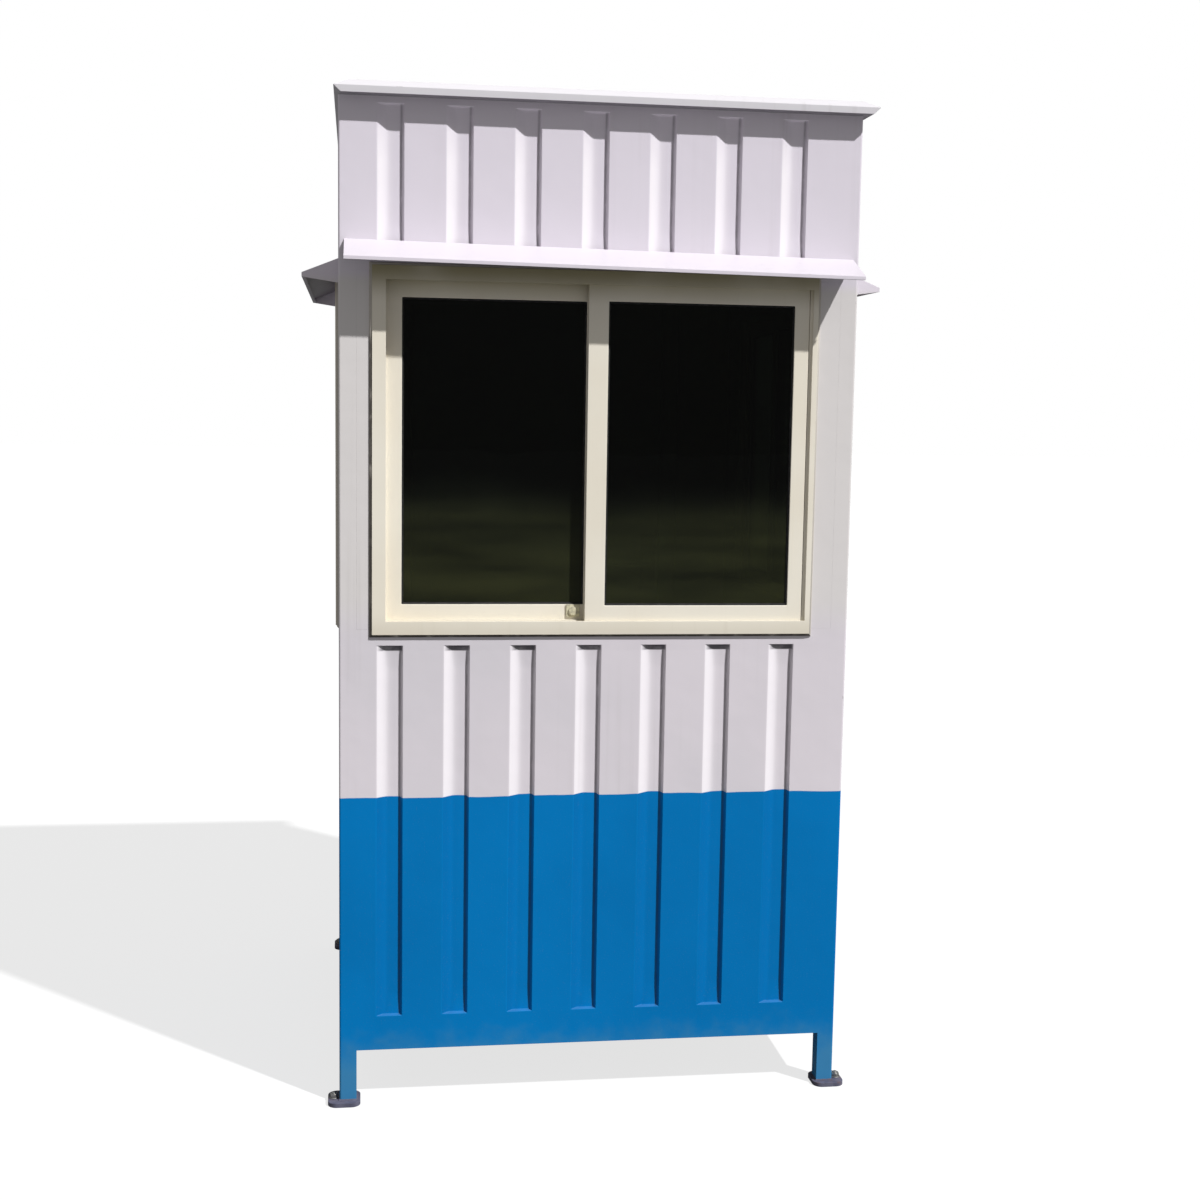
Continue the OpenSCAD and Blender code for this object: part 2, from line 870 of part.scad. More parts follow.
module handle() {
    x = handle_plate_w - leaf_w / 2;
    translate([x - handle_plate_w / 2, -handle_plate_t, lock_z - handle_plate_h / 2])
        cube([handle_plate_w, handle_plate_t, handle_plate_h]);
    translate([x, 0, lock_z]) {
        rotate([90, 0, 0]) cylinder(r = lever_r, h = lever_reach + lever_r);
        translate([0, -lever_reach, 0]) rotate([0, 90, 0]) cylinder(r = lever_r, h = lever_l);
    }
}

post(-1, -1);  // post_front_left
post(1, -1);  // post_front_right
post(-1, 1);  // post_back_left
post(1, 1);  // post_back_right
base_plates();
base_rails();
top_rails();
floor_deck();  // floor
ceiling();
roof();
front_panel_lower();
front_panel_upper();
front_strips();
left_panel_lower();
left_panel_upper();
left_strips();
right_panel_lower();
right_panel_upper();
right_strips();
back_panel_lower();
back_panel_upper();
back_panels_beside_door();
lining_front();
lining_left();
lining_right();
lining_back();
front_hood();
left_hood();
right_hood();
front_window_frame();
front_sliding_sash();
front_fixed_sash();
front_glass();
front_latch();
left_window_frame();
left_sashes();
left_glass();
right_window_frame();
right_sashes();
right_glass();
door_frame();
door_leaf();
door_hinges();
door_handles();
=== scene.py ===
"""Looks of the portable guard booth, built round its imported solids.

Metres, +Z up, front wall towards -Y. Each wall is worked on in its own frame: X to the right
seen from outside, Y inwards, Z up.
"""

import math

import bmesh
import bpy
import numpy as np
from mathutils import Matrix, Vector


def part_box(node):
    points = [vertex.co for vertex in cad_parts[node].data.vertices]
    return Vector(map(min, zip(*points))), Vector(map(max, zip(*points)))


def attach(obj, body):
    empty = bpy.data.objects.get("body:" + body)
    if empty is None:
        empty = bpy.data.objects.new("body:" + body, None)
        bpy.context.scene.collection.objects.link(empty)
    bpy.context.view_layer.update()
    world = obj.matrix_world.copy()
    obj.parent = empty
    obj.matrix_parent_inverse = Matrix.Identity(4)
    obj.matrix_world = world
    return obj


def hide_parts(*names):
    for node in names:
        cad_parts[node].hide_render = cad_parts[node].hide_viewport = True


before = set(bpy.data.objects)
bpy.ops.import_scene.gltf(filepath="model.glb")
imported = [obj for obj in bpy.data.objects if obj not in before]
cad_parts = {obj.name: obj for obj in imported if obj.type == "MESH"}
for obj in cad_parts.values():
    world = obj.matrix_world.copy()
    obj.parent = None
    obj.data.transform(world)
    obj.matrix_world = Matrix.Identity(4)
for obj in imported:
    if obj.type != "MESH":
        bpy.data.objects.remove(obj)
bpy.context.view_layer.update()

# Files and names
BODY = "root"
CORNERS = ("front_left", "front_right", "back_left", "back_right")

# The photograph's camera
CAMERA_AT = (-0.556, -4.436, 1.644)
CAMERA_YAW, CAMERA_PITCH, CAMERA_ROLL = 8.29, 6.52, 0.93
FOCAL_PX, IMAGE_PX, SENSOR_MM = 1671.0, 1200.0, 36.0

# Light: one sun with a soft edge, and an even sky
SUN_FROM = Vector((0.95, -1.0, 1.53))
SUN_STRENGTH = 4.0
SUN_ANGLE = math.radians(1.2)
SKY_LEVEL = 0.25
FLOOR_SIZE = 120.0
FLOOR_GREY = 0.24
FLOOR_GLOW = 0.75

# Pressed sheet, as in the solids
SHEET_T = 0.0015
GROOVE_PITCH = 0.154
GROOVE_W = 0.060
GROOVE_DEPTH = 0.011
GROOVE_FLANK, GROOVE_WALL = 0.024, 0.006
GROOVE_END_WALL, GROOVE_END_EASE = 0.003, 0.050
END_WALL_SHARE, END_DIP = 0.68, 0.0005
GROOVE_SHIFT = -0.022
GROOVE_EDGE = 0.030
GROOVE_LOW_GAP = 0.082
GROOVE_SILL_GAP = 0.026
GROOVE_EAVES_GAP = 0.014
GROOVE_TUCK = 0.020
FRAME_LAP = 0.012
# How softly the press rounds a groove's lips and ends
LIP_SOFT = 0.0012
FOOT_SOFT = 0.002
KNEE_SOFT = 0.003
END_SOFT = 0.002
# Painted shade and dirt in the crease at the foot of a groove's steep side: its reach and share; then the
# reach and soft edge of the painted shadow under a lower groove's top end
CREASE_REACH = 0.008
CREASE_SHARE = 0.6
LIP_SHADOW_REACH, LIP_SHADOW_EDGE = 0.014, 0.003
# Painted highlight on a groove's sunward flank: its span from the lip, its ease-in at the lip and its fade;
# it ends this far below the eaves, in their shadow
FLANK_LIT_SPAN, FLANK_LIP, FLANK_FADE = (0.010, 0.036), 0.0004, 0.03
EAVES_SHADOW = 0.055
# How far flat sheet is warped
WARP = 0.0007
WARP_FADE = 0.05
# Waves of the warp: radians per metre along X and along Z, and the phase
WAVES = ((9.1, 2.3, 0.7), (-3.1, 4.7, 0.0), (15.7, -6.1, 0.0))
# Widest gaps between a sheet's grid lines
GRID_X, GRID_Z = 0.05, 0.09
ROUNDING, LINE_DIGITS = 1e-6, 6

# Paint: height of the colour line, how it wanders, and how far blue creeps up the grooves
PAINT_LINE = 0.738
LINE_WANDER = 0.006
LINE_CREEP = 0.002
LINE_EDGE = 0.0007
DUST_TOP, DUST_WANDER = 0.13, 0.12
SLOPE_DUST = 0.09
SPECK_FADE = (1.6, 0.2)
# Where the white changes its tone: heights, and reaches from the sill, the hood, the front and the eaves
HIGH_FADE = (1.5, 2.1)
BESIDE_SILL, BESIDE_HOOD, BESIDE_DEEP = (-0.02, 0.10), 0.03, (0.30, 0.02)
ROOF_EDGE = 0.004
# Undersides get painted shade up to this far below the upper grooves' ends, and again from the eaves up
GROOVES_UNDER, ROOF_UNDER = (0.01, 0.03), (0.008, 0.004)

# Softened edges: angles, radii, and steps round an edge
WELD_DISTANCE = 2e-5
FLAT_ANGLE = math.radians(1.0)
SHARP_ANGLE = math.radians(28.0)
SMOOTH_ANGLE = math.radians(40.0)
POST_CORNER_R, POST_STEPS = 0.005, 5
CREASED, ROUNDED = 1, 3
SHEET_EDGE_R, FOLD_R, BOARD_R = 0.0003, 0.0006, 0.0006
FRAME_R, SASH_R, LATCH_R = 0.0014, 0.0016, 0.0012
DOOR_FRAME_R, LEAF_R, HINGE_R, HANDLE_R = 0.0012, 0.001, 0.0008, 0.0012
PLATE_R, BASE_RAIL_R, TOP_RAIL_R = 0.002, 0.002, 0.001

# Feet
ANCHOR_AT = (0.613, 0.580)
NUT_FLATS, NUT_H, NUT_TURN = 0.018, 0.009, (0.4, 0.9)
NUT_BEVEL_SHARE, NUT_FACE_SHARE = 0.14, 0.98
WASHER_R, WASHER_T, WASHER_SIDES = 0.0118, 0.002, 32
WASHER_EDGE, WASHER_FOOT = 0.0005, 0.0004
STUD_R, STUD_H, THREAD = 0.0055, 0.014, 0.0015
THREAD_ROOT_SHARE, STUD_TIP_SHARE = 0.86, 0.7
BEAD_R, BEAD_RIPPLE, BEAD_STEP = 0.0028, 0.0055, 0.0016
BEAD_LOW_SHARE, BEAD_SWELL_SHARE = 0.82, 0.3

# Windows
GLASS_BITE = 0.008
GASKET_W, GASKET_H = 0.0045, 0.0035
GASKET_SHARES = [(0.0, 0.0), (0.0, 1.0), (0.35, 1.0), (0.8, 0.6), (1.0, 0.0)]
SEALANT_R = 0.0065
SEALANT_SHARES = [(0.0, 0.25), (0.0, -1.0), (-0.45, -0.9), (-0.9, -0.45), (-1.0, 0.25)]
# How dark the sealant is made below, right of, above and left of a frame: dirt, and painted shade on the
# sides away from the sun
SEALANT_DARKENING = (1.0, 0.1, 0.6, 0.9)
# How far below the head the hood's shade ends, and the share of the sealant's darkening kept within that
# shade
HOOD_SHADE_END, IN_HOOD_SHADE_SHARE = (0.13, 0.18), 0.15
# Painted shade on the frame down from the head, and dirt up from the sill: their reaches
HEAD_REACH, SILL_REACH = 0.085, 0.05
# Film on the panes, dust and partly a painted reflection of the ground: its strength, and its upper edge
# over the sill
FILM = 0.28
FILM_TOP, FILM_WANDER = (0.42, 0.26), 0.10

# Door
HINGE_FACE, HINGE_SCREW_X, HINGE_SCREW_Z = -0.009, 0.018, (-0.034, 0.0, 0.034)
HANDLE_FACE, HANDLE_EDGE = -0.008, 0.021
HANDLE_SCREW_Z, LOCK_DROP, LOCK_SIDES = 0.069, 0.045, 32
SCREW_R, SCREW_H, SCREW_SIDES = 0.0042, 0.0022, 20
SCREW_SHARES = [(1.0, 0.0), (1.0, 0.35), (0.86, 0.76), (0.56, 1.0), (0.36, 1.0), (0.30, 0.5)]
KEYWAY = (0.0011, 0.0042, 0.0004)
LEAF_GAP = 0.003
SEAL = [(0.0, 0.012), (0.0, 0.022), (0.0028, 0.020), (0.0028, 0.014)]
LOCK = [(0.0115, 0.0), (0.0115, 0.0018), (0.0105, 0.0030), (0.0084, 0.0030),
        (0.0081, 0.0020), (0.0073, 0.0020), (0.0071, 0.0042), (0.0064, 0.0047)]

# Colours, linear
WHITE_A, WHITE_B = (0.73, 0.68, 0.725), (0.68, 0.645, 0.685)
BLUE_A, BLUE_B = (0.0, 0.187, 0.51), (0.0, 0.167, 0.46)
# The warmer white beside the front window is a painted warm cast of light bounced into the hood's shade
WHITE_HIGH, WHITE_BESIDE = (0.745, 0.695, 0.765), (0.720, 0.688, 0.680)
WHITE_ROOF = (0.745, 0.723, 0.755)
# Painted light on the grooves' sunward flanks: a highlight on the white, painted shade on the blue
WHITE_LIT_FLANK, BLUE_LIT_FLANK = (0.87, 0.83, 0.865), (0.0, 0.150, 0.42)
GRIME = (0.30, 0.27, 0.24)
# Dark of the painted shade on undersides and in the grooves, and of the dirt in the grooves
SHADE_AND_DIRT_DARK = (0.045, 0.04, 0.055)
DUST = (0.12, 0.28, 0.31)
PRIMER = (0.16, 0.13, 0.12)
CREAM_A, CREAM_B = (0.87, 0.82, 0.71), (0.83, 0.77, 0.65)
CREAM_DIRT = (0.48, 0.42, 0.31)
# Warm painted shade on the window frame under the hood
HEAD_SHADE = (0.30, 0.262, 0.13)
FOOT_A, FOOT_B = (0.09, 0.09, 0.135), (0.135, 0.135, 0.19)
RUST = (0.17, 0.075, 0.035)
ZINC_A, ZINC_B = (0.36, 0.36, 0.35), (0.25, 0.25, 0.24)
LATCH_A, LATCH_B = (0.82, 0.77, 0.55), (0.55, 0.51, 0.37)
# Sealant, and the dark of its dirt and painted shade
SEALANT, SEALANT_SHADE_AND_DIRT = (0.60, 0.56, 0.50), (0.045, 0.036, 0.03)
RUBBER_A, RUBBER_B = (0.012, 0.012, 0.012), (0.03, 0.03, 0.03)
BOARD_A, BOARD_B = (0.66, 0.62, 0.54), (0.58, 0.54, 0.46)
DECK_A, DECK_B = (0.26, 0.24, 0.22), (0.17, 0.16, 0.15)
GLASS_A, GLASS_B = (0.035, 0.045, 0.035), (0.0245, 0.0315, 0.0245)
# Colour of the film: dust, and partly a painted reflection of the ground
FILM_DUST_AND_REFLECTION = (0.26, 0.27, 0.08)

cabin_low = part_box("post_front_left")[0]
cabin_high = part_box("post_back_right")[1]
eaves_z = cabin_high.z
leg_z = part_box("front_panel_lower")[0].z
sill_z, head_z = (corner.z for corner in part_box("front_window_frame"))
hood_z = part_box("front_hood")[0].z


# Wall frames

def wall_frame(origin, right):
    """The matrix from a wall's own frame to the booth's."""
    x, z = Vector(right), Vector((0, 0, 1))
    y = z.cross(x)
    return Matrix.Translation(origin) @ Matrix((x, y, z)).transposed().to_4x4()


WALLS = {
    "front": wall_frame((0, cabin_low.y, 0), (1, 0, 0)),
    "back": wall_frame((0, cabin_high.y, 0), (-1, 0, 0)),
    "left": wall_frame((cabin_low.x, 0, 0), (0, -1, 0)),
    "right": wall_frame((cabin_high.x, 0, 0), (0, 1, 0)),
}


def wall_box(wall, node):
    """A node's lowest and highest corners in a wall's frame."""
    into = WALLS[wall].inverted()
    ends = [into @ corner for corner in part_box(node)]
    return Vector(map(min, *ends)), Vector(map(max, *ends))


# Materials

class Graph:
    """A material's node tree, with short names for the nodes used here."""

    def __init__(self, name, **sockets):
        self.material = bpy.data.materials.new(name)
        self.material.use_nodes = True
        self.tree = self.material.node_tree
        self.shader = self.tree.nodes["Principled BSDF"]
        for socket, value in sockets.items():
            self.put(self.shader.inputs[socket.replace("_", " ")], value)

    def put(self, socket, value):
        if isinstance(value, bpy.types.NodeSocket):
            self.tree.links.new(value, socket)
        elif socket.type == "RGBA" and len(value) == 3:
            socket.default_value = (*value, 1.0)
        else:
            socket.default_value = value

    def node(self, kind, inputs=None, **settings):
        made = self.tree.nodes.new("ShaderNode" + kind)
        for setting, value in settings.items():
            setattr(made, setting, value)
        for socket, value in (inputs or {}).items():
            self.put(made.inputs[socket], value)
        return made

    def place(self):
        return self.node("TexCoord").outputs["Object"]

    def along(self, axis):
        return self.node("SeparateXYZ", {0: self.place()}).outputs[axis]

    def facing_up(self):
        return self.node("SeparateXYZ", {0: self.node("NewGeometry").outputs["Normal"]}).outputs["Z"]

    def attribute(self, name):
        return self.node("Attribute", attribute_name=name).outputs["Fac"]

    def math(self, operation, a, b=0.0):
        return self.node("Math", {0: a, 1: b}, operation=operation).outputs[0]

    def noise(self, scale, detail=2.0, stretch=(1.0, 1.0, 1.0)):
        at = self.node("VectorMath", {0: self.place(), 1: stretch}, operation="MULTIPLY").outputs[0]
        return self.node("TexNoise", {"Vector": at, "Scale": scale, "Detail": detail}).outputs["Fac"]

    def step(self, value, low, high, top=1.0):
        """0 below low and top above high, eased between."""
        inputs = {"Value": value, "From Min": low, "From Max": high, "To Max": top}
        return self.node("MapRange", inputs, interpolation_type="SMOOTHSTEP").outputs[0]

    def gloss(self, scale, spread, least, detail=2.0):
        """A roughness that varies by spread above least."""
        return self.math("ADD", self.math("MULTIPLY", self.noise(scale, detail), spread), least)

    def blend(self, share, a, b):
        return self.node("Mix", {0: share, 6: a, 7: b}, data_type="RGBA").outputs[2]

    def bump(self, *layers):
        """Layers of (height, depth in metres), one over the other."""
        normal = None
        for height, depth in layers:
            inputs = {"Height": height, "Distance": depth, "Strength": 1.0}
            if normal:
                inputs["Normal"] = normal
            normal = self.node("Bump", inputs).outputs[0]
        self.put(self.shader.inputs["Normal"], normal)

    def finish(self, colour, roughness):
        self.put(self.shader.inputs["Base Color"], colour)
        self.put(self.shader.inputs["Roughness"], roughness)
        return self.material


def paint_line(g, z):
    """1 below the hand-masked line between blue and white."""
    wander = g.math("MULTIPLY", g.math("SUBTRACT", g.noise(5.0, 3.0), 0.5), LINE_WANDER * 2)
    creep = g.math("MULTIPLY", g.attribute("press"), LINE_CREEP)
    line = g.math("ADD", g.math("ADD", wander, creep), PAINT_LINE)
    return g.step(g.math("SUBTRACT", line, z), -LINE_EDGE, LINE_EDGE)


def white_paint(g, z, tone):
    """White that is cooler high up, warmer beside the front window, which is a painted warm cast of light
    bounced into the hood's shade, and neutral on the roof.
    """
    white = g.blend(g.step(z, *HIGH_FADE), g.blend(tone, WHITE_A, WHITE_B), WHITE_HIGH)
    # Painted warm cast beside the front window, standing for light bounced into the shade under the hood
    above_sill = g.step(z, *(sill_z + reach for reach in BESIDE_SILL))
    beside = g.math("MULTIPLY", above_sill, g.step(z, hood_z, hood_z - BESIDE_HOOD))
    at_front = g.step(g.along("Y"), *(cabin_low.y + reach for reach in BESIDE_DEEP))
    white = g.blend(g.math("MULTIPLY", beside, at_front), white, WHITE_BESIDE)
    return g.blend(g.step(z, eaves_z - ROOF_EDGE, eaves_z + ROOF_EDGE), white, WHITE_ROOF)


def grime_runs(g, colour, is_blue):
    """Faint upright runs, in patches, on the white."""
    runs = g.step(g.noise(1.0, 5.0, (46.0, 46.0, 0.9)), 0.52, 0.80)
    patches = g.step(g.noise(2.3, 2.0), 0.42, 0.70, 0.16)
    runs = g.math("MULTIPLY", g.math("MULTIPLY", runs, patches), g.step(is_blue, 1.0, 0.0))
    return g.blend(runs, colour, GRIME)


def dirt_and_painted_shade(g, colour, z):
    """Streaks and specks on flat tops and dust on slopes; painted shade on undersides, and painted shade and
    dirt in the grooves.
    """
    up = g.facing_up()
    streaks = g.step(g.noise(1.0, 7.0, (34.0, 2.2, 1.0)), 0.40, 0.80, 0.16)
    specks = g.step(g.noise(120.0, 4.0), 0.52, 0.80, 0.30)
    settled = g.math("MULTIPLY", g.step(up, 0.96, 0.995), g.math("ADD", streaks, specks))
    settled = g.math("ADD", settled, g.step(up, 0.5, 0.9, SLOPE_DUST))
    colour = g.blend(settled, colour, GRIME)
    # Painted shade on faces turned down, below the upper grooves' ends and from the eaves up
    groove_top = eaves_z - GROOVE_EAVES_GAP
    grooves_below = g.step(z, *(groove_top - reach for reach in GROOVES_UNDER))
    roof_above = g.step(z, *(eaves_z - reach for reach in ROOF_UNDER))
    under = g.math("MULTIPLY", g.step(up, -0.45, -0.85, 0.68), g.math("ADD", grooves_below, roof_above))
    colour = g.blend(under, colour, SHADE_AND_DIRT_DARK)
    # Painted shade and dirt from the grooves' creases and top ends
    shade_and_dirt = g.math("MULTIPLY", g.attribute("shade_and_dirt"), g.step(g.noise(30.0, 4.0), 0.0, 0.6, 0.8))
    return g.blend(shade_and_dirt, colour, SHADE_AND_DIRT_DARK)


def road_dust(g, z):
    """Share of dust on the legs and the lowest edge."""
    wander = g.math("MULTIPLY", g.noise(22.0, 5.0), DUST_WANDER)
    low = g.math("SUBTRACT", g.math("ADD", DUST_TOP, wander), z)
    return g.step(low, 0.0, DUST_TOP, 0.35)


def enamel():
    """White over blue, with grime, road dust and chipped edges, painted shade on undersides and in the
    grooves, and a painted highlight on the grooves' sunward flanks.
    """
    g = Graph("two_tone_enamel", Specular_IOR_Level=0.10)
    z = g.along("Z")
    is_blue = paint_line(g, z)
    tone = g.step(g.noise(1.7, 4.0), 0.35, 0.68)
    # Painted light on the grooves' sunward flanks: a highlight on the white, and painted shade on the blue
    # that evens out their sunlit side
    flank = g.attribute("flank")
    white = g.blend(flank, white_paint(g, z, tone), WHITE_LIT_FLANK)
    blue = g.blend(flank, g.blend(tone, BLUE_A, BLUE_B), BLUE_LIT_FLANK)
    colour = grime_runs(g, g.blend(is_blue, white, blue), is_blue)
    colour = dirt_and_painted_shade(g, colour, z)
    dust = road_dust(g, z)
    colour = g.blend(dust, colour, DUST)
    speck = g.math("MULTIPLY", g.step(g.noise(260.0, 3.0), 0.58, 0.74, 0.05), g.step(z, *SPECK_FADE))
    colour = g.blend(speck, colour, GRIME)
    chips = g.math("MULTIPLY", g.attribute("edge"), g.step(g.noise(45.0, 5.0), 0.66, 0.72, 0.35))
    colour = g.blend(chips, colour, PRIMER)
    rough = g.math("ADD", g.gloss(60.0, 0.16, 0.30, 3.0), g.math("MULTIPLY", dust, 0.4))
    g.bump((g.noise(11.0, 2.0), 0.0012), (g.noise(700.0, 2.0), 0.00006))
    return g.finish(colour, rough)


def cream():
    """Powder coat on the window sections, with dirt on the sill, and warm mottled painted shade under the
    hood.
    """
    g = Graph("cream_powder_coat", Specular_IOR_Level=0.3)
    tone = g.step(g.noise(3.0, 4.0), 0.35, 0.70)
    colour = g.blend(tone, CREAM_A, CREAM_B)
    z = g.along("Z")
    # Painted shade, warm and mottled, on the frame below its head, under the hood
    under_hood = g.step(z, head_z - HEAD_REACH, head_z)
    head = g.math("MULTIPLY", under_hood, g.step(g.noise(3.0, 3.0), 0.0, 0.6, 0.9))
    colour = g.blend(head, colour, HEAD_SHADE)
    settled = g.step(z, sill_z + SILL_REACH, sill_z, 0.30)
    settled = g.math("ADD", settled, g.step(g.noise(1.0, 5.0, (60.0, 60.0, 2.0)), 0.56, 0.85, 0.10))
    colour = g.blend(settled, colour, CREAM_DIRT)
    worn = g.math("MULTIPLY", g.attribute("edge"), g.step(g.noise(90.0, 3.0), 0.60, 0.72, 0.35))
    colour = g.blend(worn, colour, CREAM_DIRT)
    g.bump((g.noise(14.0, 2.0), 0.0004), (g.noise(900.0, 2.0), 0.00005))
    return g.finish(colour, g.gloss(80.0, 0.15, 0.36, 3.0))


def glass():
    """Dark tinted panes with a slight roller wave, and a wiped film low down, of dust and partly a painted
    reflection of the ground.
    """
    g = Graph("dark_tinted_glass", IOR=1.22)
    tint = g.blend(g.step(g.noise(2.0, 2.0), 0.3, 0.7), GLASS_A, GLASS_B)
    smear = g.step(g.noise(7.0, 5.0, (1.0, 1.0, 0.5)), 0.50, 0.90, 0.06)
    # A greenish film low on the panes: dust, and partly a painted reflection of the ground
    edge = g.math("ADD", g.along("Z"), g.math("MULTIPLY", g.noise(3.0, 2.0), FILM_WANDER))
    film = g.step(edge, *(sill_z + rise for rise in FILM_TOP))
    wiped = g.step(g.noise(6.0, 3.0, (0.35, 0.35, 2.6)), -0.15, 0.85, FILM)
    film = g.math("MULTIPLY", film, wiped)
    tint = g.blend(film, tint, FILM_DUST_AND_REFLECTION)
    g.put(g.shader.inputs["Transmission Weight"], g.math("SUBTRACT", 1.0, film))
    g.bump((g.noise(6.0, 1.0, (1.0, 1.0, 0.4)), 0.0005))
    return g.finish(tint, smear)


def foot_steel():
    """Foot plates: thin grey-violet paint under dust, with rust at the edges."""
    g = Graph("dusty_foot_plate", Specular_IOR_Level=0.3)
    colour = g.blend(g.step(g.noise(34.0, 5.0), 0.35, 0.66), FOOT_A, FOOT_B)
    worn = g.math("ADD", g.attribute("edge"), 0.25)
    rust = g.math("MULTIPLY", g.step(g.noise(70.0, 6.0), 0.50, 0.66, 0.7), worn)
    colour = g.blend(rust, colour, RUST)
    g.bump((g.noise(160.0, 4.0), 0.0004))
    return g.finish(colour, g.gloss(120.0, 0.25, 0.5, 3.0))


def zinc():
    """Dull zinc-plated steel with a mottled bloom."""
    g = Graph("dull_zinc_steel", Metallic=0.75)
    cells = g.node("TexVoronoi", {"Vector": g.place(), "Scale": 220.0}).outputs["Color"]
    tone = g.node("SeparateXYZ", {0: cells}).outputs["X"]
    colour = g.blend(g.math("MULTIPLY", tone, 0.7), ZINC_A, ZINC_B)
    colour = g.blend(g.step(g.noise(60.0, 5.0), 0.62, 0.80, 0.4), colour, RUST)
    g.bump((g.noise(500.0, 3.0), 0.00008))
    return g.finish(colour, g.gloss(150.0, 0.25, 0.38, 3.0))


def latch_metal():
    """Aged bronze-grey casting, rubbed lighter where a finger pulls it."""
    g = Graph("aged_latch", Metallic=0.3)
    colour = g.blend(g.step(g.noise(120.0, 4.0), 0.38, 0.66), LATCH_A, LATCH_B)
    colour = g.blend(g.math("MULTIPLY", g.attribute("edge"), 0.5), colour, ZINC_A)
    g.bump((g.noise(900.0, 2.0), 0.00006))
    return g.finish(colour, g.gloss(160.0, 0.2, 0.42))


def rubber():
    """Black glazing rubber, greyed by dust."""
    g = Graph("black_rubber", Specular_IOR_Level=0.25)
    colour = g.blend(g.step(g.noise(90.0, 4.0), 0.45, 0.75), RUBBER_A, RUBBER_B)
    g.bump((g.noise(600.0, 2.0), 0.00005))
    return g.finish(colour, g.gloss(200.0, 0.2, 0.55))


def sealant_paste():
    """Aged sealant, darkened by dirt and by painted shade on the sides away from the sun, less within the
    hood's shade.
    """
    g = Graph("aged_sealant", Specular_IOR_Level=0.2)
    # Painted shade and dirt, held back where the hood's shade falls already
    darkened = g.math("MULTIPLY", g.attribute("shade_and_dirt"), g.step(g.noise(25.0, 4.0), 0.1, 0.5, 0.95))
    below = g.step(g.along("Z"), *(head_z - drop for drop in HOOD_SHADE_END), 1.0 - IN_HOOD_SHADE_SHARE)
    darkened = g.math("MULTIPLY", darkened, g.math("ADD", below, IN_HOOD_SHADE_SHARE))
    colour = g.blend(darkened, SEALANT, SEALANT_SHADE_AND_DIRT)
    g.bump((g.noise(300.0, 3.0), 0.0003))
    return g.finish(colour, g.gloss(90.0, 0.2, 0.5))


def board(name, tone_a, tone_b, grain):
    """Painted board: long faint grain, with scuffs."""
    g = Graph(name, Specular_IOR_Level=0.25)
    lines = g.noise(1.0, 5.0, grain)
    colour = g.blend(g.step(lines, 0.35, 0.70), tone_a, tone_b)
    scuff = g.step(g.noise(9.0, 6.0), 0.60, 0.78, 0.25)
    colour = g.blend(scuff, colour, GRIME)
    g.bump((lines, 0.0003))
    return g.finish(colour, g.math("ADD", g.math("MULTIPLY", lines, 0.2), 0.5))


PAINT, CREAM, GLASS = enamel(), cream(), glass()
FOOT, ZINC, RUBBER, LATCH, PASTE = foot_steel(), zinc(), rubber(), latch_metal(), sealant_paste()
BOARD = board("lining_board", BOARD_A, BOARD_B, (70.0, 70.0, 2.5))
DECK = board("sheet_floor", DECK_A, DECK_B, (40.0, 40.0, 40.0))


# Pieces

def piece(name, mesh, material, slot, *nodes):
    """Puts a mesh in the scene as a piece of the booth that stands for these nodes."""
    made = bpy.data.objects.new(name, mesh)
    bpy.context.scene.collection.objects.link(made)
    mesh.materials.append(material)
    mesh.polygons.foreach_set("use_smooth", [True] * len(mesh.polygons))
    mesh.set_sharp_from_angle(angle=SMOOTH_ANGLE)
    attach(made, BODY)
    if nodes:
        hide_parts(*nodes)
    return made


def mesh_from(name, bm):
    mesh = bpy.data.meshes.new(name)
    bm.to_mesh(mesh)
    bm.free()
    return mesh


def mesh_of(name, verts, faces, place=Matrix()):
    mesh = bpy.data.meshes.new(name)
    mesh.from_pydata([place @ Vector(v) for v in verts], [], faces)
    mesh.update()
    return mesh


# Pressed sheet

def groove_centres(width, shift=0.0):
    """Middle lines of as many grooves as a sheet's width holds."""
    count = math.floor((width - GROOVE_W - 2 * GROOVE_EDGE) / GROOVE_PITCH + ROUNDING) + 1
    return [shift + (i - (count - 1) / 2) * GROOVE_PITCH for i in range(count)]


def soft_min(a, b, reach):
    share = np.clip(reach - np.abs(a - b), 0, None) / reach
    return np.minimum(a, b) - share * share * reach / 4


def soft_max(a, b, reach):
    return -soft_min(-a, -b, reach)


def across_depth(off):
    """Depth of a groove's flank and floor, and of its steep side, at a distance from its middle line."""
    flank = (GROOVE_W / 2 + off) * GROOVE_DEPTH / GROOVE_FLANK
    steep = (GROOVE_W / 2 - off) * GROOVE_DEPTH / GROOVE_WALL
    return soft_min(flank, np.full_like(off, GROOVE_DEPTH), KNEE_SOFT), steep


def end_depth(inside):
    """Depth that a groove's end allows at a distance inside it: a steep wall, then a slow fall."""
    full = GROOVE_DEPTH + END_DIP
    step = full * END_WALL_SHARE
    fall = step + (inside - GROOVE_END_WALL) * (full - step) / GROOVE_END_EASE
    return inside * step / GROOVE_END_WALL, np.minimum(fall, full)


